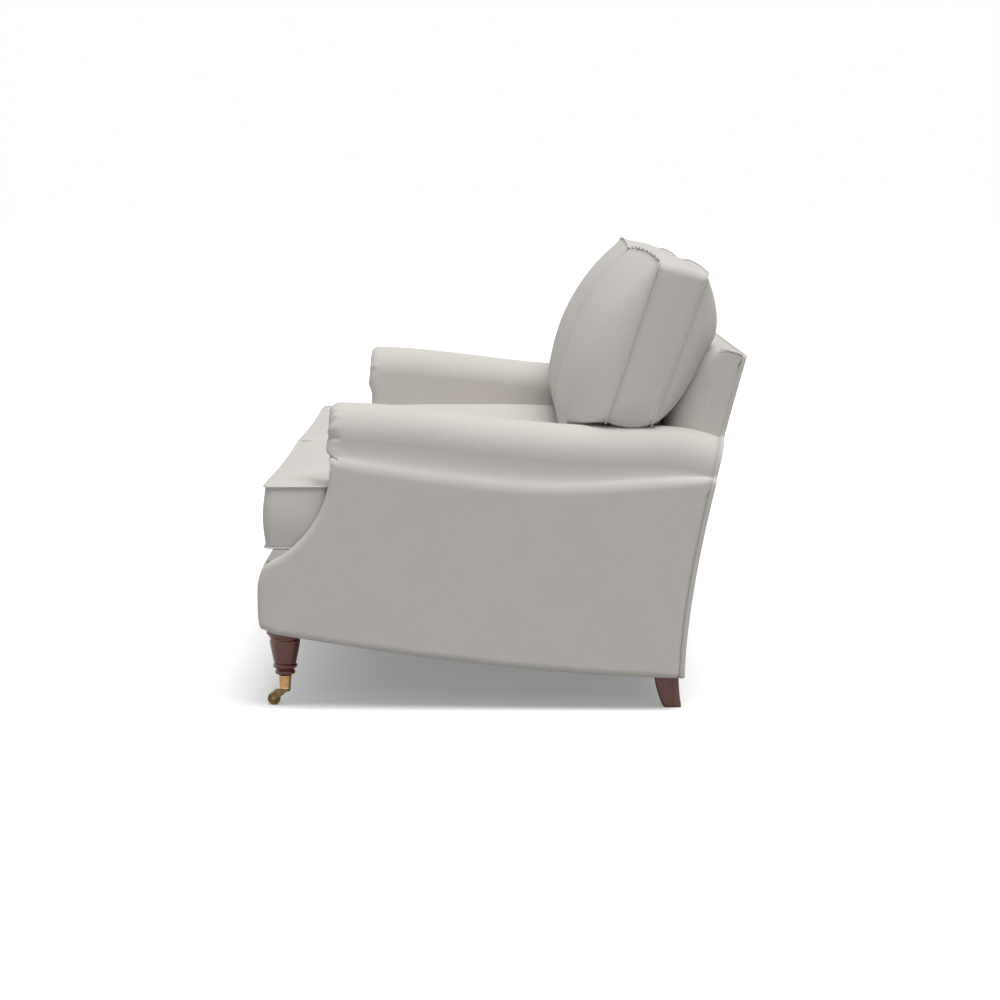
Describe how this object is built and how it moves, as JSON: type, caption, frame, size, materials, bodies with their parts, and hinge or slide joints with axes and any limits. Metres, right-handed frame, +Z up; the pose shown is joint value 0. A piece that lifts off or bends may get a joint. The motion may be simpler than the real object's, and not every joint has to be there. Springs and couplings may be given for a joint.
{
  "type": "english roll arm sofa",
  "caption": "Low English roll arm sofa with loose T-shaped seat and back cushions, turned front legs on brass castors and short sabre legs behind.",
  "frame": {"origin": "on the floor, in the middle of the sofa's width and depth", "axes": "+X to the right as one faces the sofa's front, along its width; -Y is the way the front faces; +Z up"},
  "size_m": [1.96, 0.97, 0.886],
  "materials": {
    "upholstery_fabric": "fine plain weave, warm light grey, matt",
    "cushion_fabric": "fine plain weave, warm light grey, matt, self-piped seams",
    "cushion_filling": "foam core in fibre wrap",
    "zip_tape": "woven zip tape",
    "webbing": "elastic upholstery webbing",
    "dust_cloth": "black non-woven lining",
    "frame_wood": "planed beech, unfinished",
    "leg_wood": "dark red mahogany stain, satin lacquer",
    "castor_brass": "lacquered brass, satin",
    "castor_aged_brass": "darkened brass, worn",
    "steel": "zinc plated"
  },
  "bodies": {
    "frame": {"side_rail_right": "frame_wood", "arm_front_post_right": "frame_wood", "arm_rear_post_right": "frame_wood", "arm_top_rail_right": "frame_wood", "arm_stay_rail_right": "frame_wood", "back_post_right": "frame_wood", "rear_corner_block_right": "frame_wood", "front_corner_block_right": "frame_wood", "side_rail_left": "frame_wood", "arm_front_post_left": "frame_wood", "arm_rear_post_left": "frame_wood", "arm_top_rail_left": "frame_wood", "arm_stay_rail_left": "frame_wood", "back_post_left": "frame_wood", "rear_corner_block_left": "frame_wood", "front_corner_block_left": "frame_wood", "front_rail": "frame_wood", "rear_rail": "frame_wood", "centre_brace": "frame_wood", "top_back_rail": "frame_wood", "lower_back_rail": "frame_wood", "seat_webbing": "webbing", "back_webbing": "webbing", "seat_deck": "upholstery_fabric", "front_border": "upholstery_fabric", "inside_back": "upholstery_fabric", "outside_back": "upholstery_fabric", "arm_cover_right": "upholstery_fabric", "outside_arm_right": "upholstery_fabric", "arm_cover_left": "upholstery_fabric", "outside_arm_left": "upholstery_fabric", "dust_cover": "dust_cloth", "front_leg_right": "leg_wood", "front_leg_bolt_right": "steel", "castor_cup_right": "castor_brass", "rear_leg_right": "leg_wood", "rear_leg_bolt_right": "steel", "front_leg_left": "leg_wood", "front_leg_bolt_left": "steel", "castor_cup_left": "castor_brass", "rear_leg_left": "leg_wood", "rear_leg_bolt_left": "steel"},
    "castor_right": {"castor_horn_right": "castor_aged_brass", "castor_axle_right": "castor_aged_brass"},
    "wheel_right": {"castor_wheel_right": "castor_aged_brass"},
    "seat_cushion_right": {"seat_cushion_cover_right": "cushion_fabric", "seat_cushion_core_right": "cushion_filling", "seat_cushion_zip_right": "zip_tape"},
    "back_cushion_right": {"back_cushion_cover_right": "cushion_fabric", "back_cushion_core_right": "cushion_filling", "back_cushion_zip_right": "zip_tape"},
    "castor_left": {"castor_horn_left": "castor_aged_brass", "castor_axle_left": "castor_aged_brass"},
    "wheel_left": {"castor_wheel_left": "castor_aged_brass"},
    "seat_cushion_left": {"seat_cushion_cover_left": "cushion_fabric", "seat_cushion_core_left": "cushion_filling", "seat_cushion_zip_left": "zip_tape"},
    "back_cushion_left": {"back_cushion_cover_left": "cushion_fabric", "back_cushion_core_left": "cushion_filling", "back_cushion_zip_left": "zip_tape"}
  },
  "joints": [
    {"name": "castor_right_swivel", "type": "hinge", "parent": "frame", "child": "castor_right", "pos_m": [0.902, -0.437, 0.03], "axis": [0, 0, 1], "continuous": true},
    {"name": "castor_right_roll", "type": "hinge", "parent": "castor_right", "child": "wheel_right", "pos_m": [0.902, -0.4596, 0.013], "axis": [1, 0, 0], "continuous": true},
    {"name": "seat_cushion_right_lift_off", "type": "slide", "parent": "frame", "child": "seat_cushion_right", "axis": [0, -0.9994, 0.0349], "range_m": [0, 0.8]},
    {"name": "back_cushion_right_lift_off", "type": "slide", "parent": "frame", "child": "back_cushion_right", "axis": [0, 0.299, 0.9542], "range_m": [0, 0.45]},
    {"name": "castor_left_swivel", "type": "hinge", "parent": "frame", "child": "castor_left", "pos_m": [-0.902, -0.437, 0.03], "axis": [0, 0, 1], "continuous": true},
    {"name": "castor_left_roll", "type": "hinge", "parent": "castor_left", "child": "wheel_left", "pos_m": [-0.902, -0.4596, 0.013], "axis": [1, 0, 0], "continuous": true},
    {"name": "seat_cushion_left_lift_off", "type": "slide", "parent": "frame", "child": "seat_cushion_left", "axis": [0, -0.9994, 0.0349], "range_m": [0, 0.8]},
    {"name": "back_cushion_left_lift_off", "type": "slide", "parent": "frame", "child": "back_cushion_left", "axis": [0, 0.299, 0.9542], "range_m": [0, 0.45]}
  ]
}
